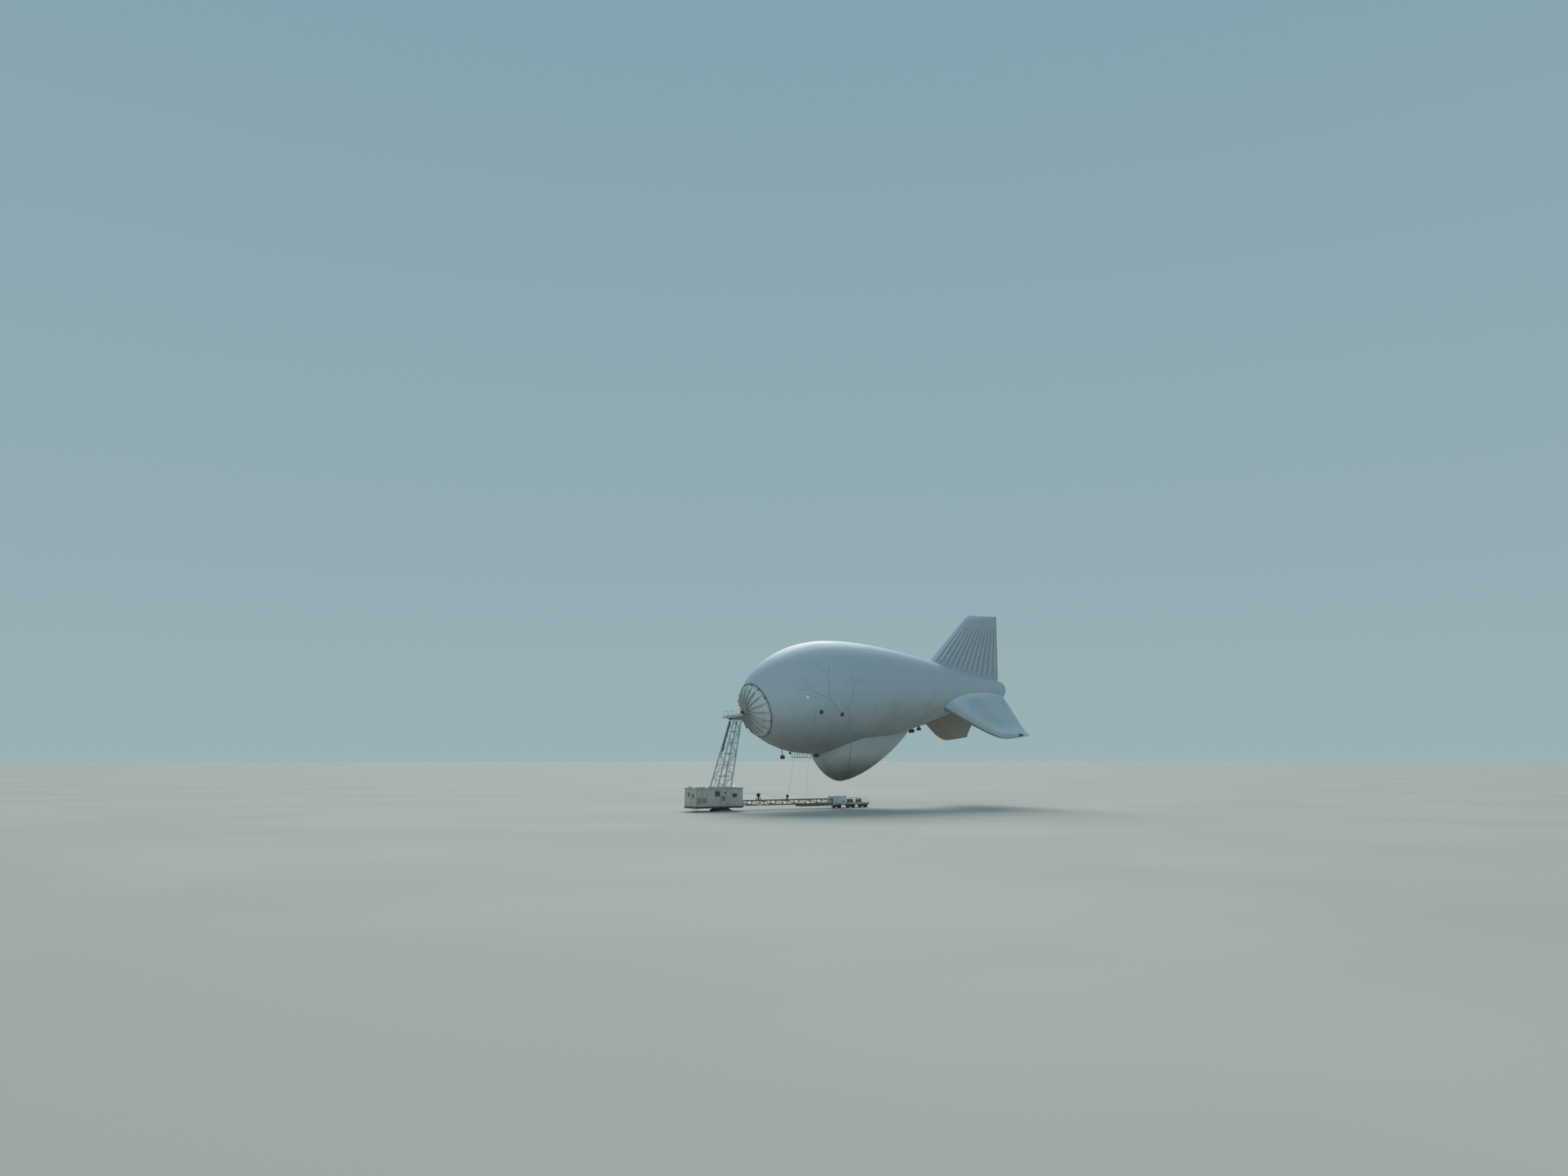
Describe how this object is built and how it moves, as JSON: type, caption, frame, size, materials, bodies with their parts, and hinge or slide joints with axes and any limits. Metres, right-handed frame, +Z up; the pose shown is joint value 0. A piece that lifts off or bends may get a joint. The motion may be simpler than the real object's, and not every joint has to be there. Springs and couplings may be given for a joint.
{
  "type": "tethered radar aerostat docked on a turning mooring mast, one to two scale model",
  "caption": "Streamlined gas balloon with a belly radome and three ribbed tail fins, held by its nose on a leaning lattice mast over a wheeled turning boom.",
  "frame": {"origin": "on the ground under the pivot that the mooring machine turns on", "axes": "+X forward, the way the nose points, +Y to port, +Z up"},
  "size_m": [37.2168, 10.59, 19.5954],
  "materials": {
    "envelope_fabric": "matte coated laminate, pale blue grey",
    "screen_fabric": "matte coated fabric, mid grey",
    "nose_frame": "painted aluminium, dull",
    "black_fittings": "dark paint, satin",
    "duct_fabric": "dark coated fabric hose",
    "mast_paint": "pale grey paint, weathered",
    "house_paint": "warm grey paint, weathered",
    "roof_paint": "dusty grey paint",
    "white_paint": "cool white paint",
    "dark_steel": "dark grey paint, dusty",
    "tyre_rubber": "worn black rubber"
  },
  "bodies": {
    "base": {"pedestal": "dark_steel"},
    "platform": {"hull_envelope": "envelope_fabric", "windscreen": "screen_fabric", "fin_top": "envelope_fabric", "fin_port": "envelope_fabric", "fin_starboard": "envelope_fabric", "nose_battens": "nose_frame", "nose_ring": "black_fittings", "valve_front_port": "black_fittings", "valve_rear_port": "black_fittings", "valve_front_starboard": "black_fittings", "valve_rear_starboard": "black_fittings", "belly_unit": "black_fittings", "belly_lamp": "black_fittings", "belly_frame": "mast_paint", "screen_vent": "black_fittings", "blower_front": "black_fittings", "blower_rear": "black_fittings", "belly_duct": "duct_fabric", "slewing_ring": "dark_steel", "deck_frame": "dark_steel", "machinery_house": "house_paint", "control_cabin": "house_paint", "house_roof": "roof_paint", "cabin_roof": "roof_paint", "roof_dome": "white_paint", "main_winch": "dark_steel", "mast_frame": "mast_paint", "mast_ladder": "mast_paint", "mast_trunk": "black_fittings", "mast_head": "mast_paint", "head_machinery": "black_fittings", "nose_latch": "black_fittings", "boom_truss": "dark_steel", "boom_deck": "roof_paint", "boom_cabinet_1": "white_paint", "boom_cabinet_2": "white_paint", "winch_house": "white_paint", "truck_1": "dark_steel", "truck_2": "dark_steel", "truck_3": "dark_steel", "haul_winch_1": "dark_steel", "haul_winch_2": "dark_steel", "guide_fork": "black_fittings"},
    "wheel_1_port": {"wheel_1_port": "tyre_rubber"},
    "wheel_1_starboard": {"wheel_1_starboard": "tyre_rubber"},
    "wheel_2_port": {"wheel_2_port": "tyre_rubber"},
    "wheel_2_starboard": {"wheel_2_starboard": "tyre_rubber"},
    "wheel_3_port": {"wheel_3_port": "tyre_rubber"},
    "wheel_3_starboard": {"wheel_3_starboard": "tyre_rubber"},
    "haul_drum_1": {"haul_drum_1": "black_fittings"},
    "haul_drum_2": {"haul_drum_2": "black_fittings"},
    "sheave_swivel": {"sheave_fork": "black_fittings"},
    "tether_sheave": {"tether_sheave": "black_fittings"},
    "guide_sheave": {"guide_sheave": "black_fittings"},
    "house_door": {"house_door": "house_paint"},
    "winch_house_door": {"winch_house_door": "white_paint"}
  },
  "joints": [
    {"name": "slew", "type": "hinge", "parent": "base", "child": "platform", "pos_m": [0, 0, 0.24], "axis": [0, 0, 1], "continuous": true},
    {"name": "roll_1_port", "type": "hinge", "parent": "platform", "child": "wheel_1_port", "pos_m": [-12.6, 0.425, 0.13], "axis": [1, 0, 0], "continuous": true},
    {"name": "roll_1_starboard", "type": "hinge", "parent": "platform", "child": "wheel_1_starboard", "pos_m": [-12.6, -0.425, 0.13], "axis": [1, 0, 0], "continuous": true},
    {"name": "roll_2_port", "type": "hinge", "parent": "platform", "child": "wheel_2_port", "pos_m": [-14.2, 0.425, 0.13], "axis": [1, 0, 0], "continuous": true},
    {"name": "roll_2_starboard", "type": "hinge", "parent": "platform", "child": "wheel_2_starboard", "pos_m": [-14.2, -0.425, 0.13], "axis": [1, 0, 0], "continuous": true},
    {"name": "roll_3_port", "type": "hinge", "parent": "platform", "child": "wheel_3_port", "pos_m": [-15.65, 0.425, 0.13], "axis": [1, 0, 0], "continuous": true},
    {"name": "roll_3_starboard", "type": "hinge", "parent": "platform", "child": "wheel_3_starboard", "pos_m": [-15.65, -0.425, 0.13], "axis": [1, 0, 0], "continuous": true},
    {"name": "drum_turn_1", "type": "hinge", "parent": "platform", "child": "haul_drum_1", "pos_m": [-14.15, 0, 0.685], "axis": [0, 1, 0], "continuous": true},
    {"name": "drum_turn_2", "type": "hinge", "parent": "platform", "child": "haul_drum_2", "pos_m": [-15.15, 0, 0.685], "axis": [0, 1, 0], "continuous": true},
    {"name": "sheave_swivel", "type": "hinge", "parent": "platform", "child": "sheave_swivel", "pos_m": [-7.075, 0, 0.9], "axis": [0, 0, 1], "continuous": true},
    {"name": "tether_sheave_turn", "type": "hinge", "parent": "sheave_swivel", "child": "tether_sheave", "pos_m": [-7.075, 0, 1.18], "axis": [0, 1, 0], "continuous": true},
    {"name": "guide_sheave_turn", "type": "hinge", "parent": "platform", "child": "guide_sheave", "pos_m": [-3.95, 0, 1.31], "axis": [0, 1, 0], "continuous": true},
    {"name": "house_door_swing", "type": "hinge", "parent": "platform", "child": "house_door", "pos_m": [1.8, -1.0605, 0.975], "axis": [0, 0, 1], "range_deg": [0, 100]},
    {"name": "winch_house_door_swing", "type": "hinge", "parent": "platform", "child": "winch_house_door", "pos_m": [-12.9, -0.4105, 0.765], "axis": [0, 0, 1], "range_deg": [0, 100]}
  ]
}
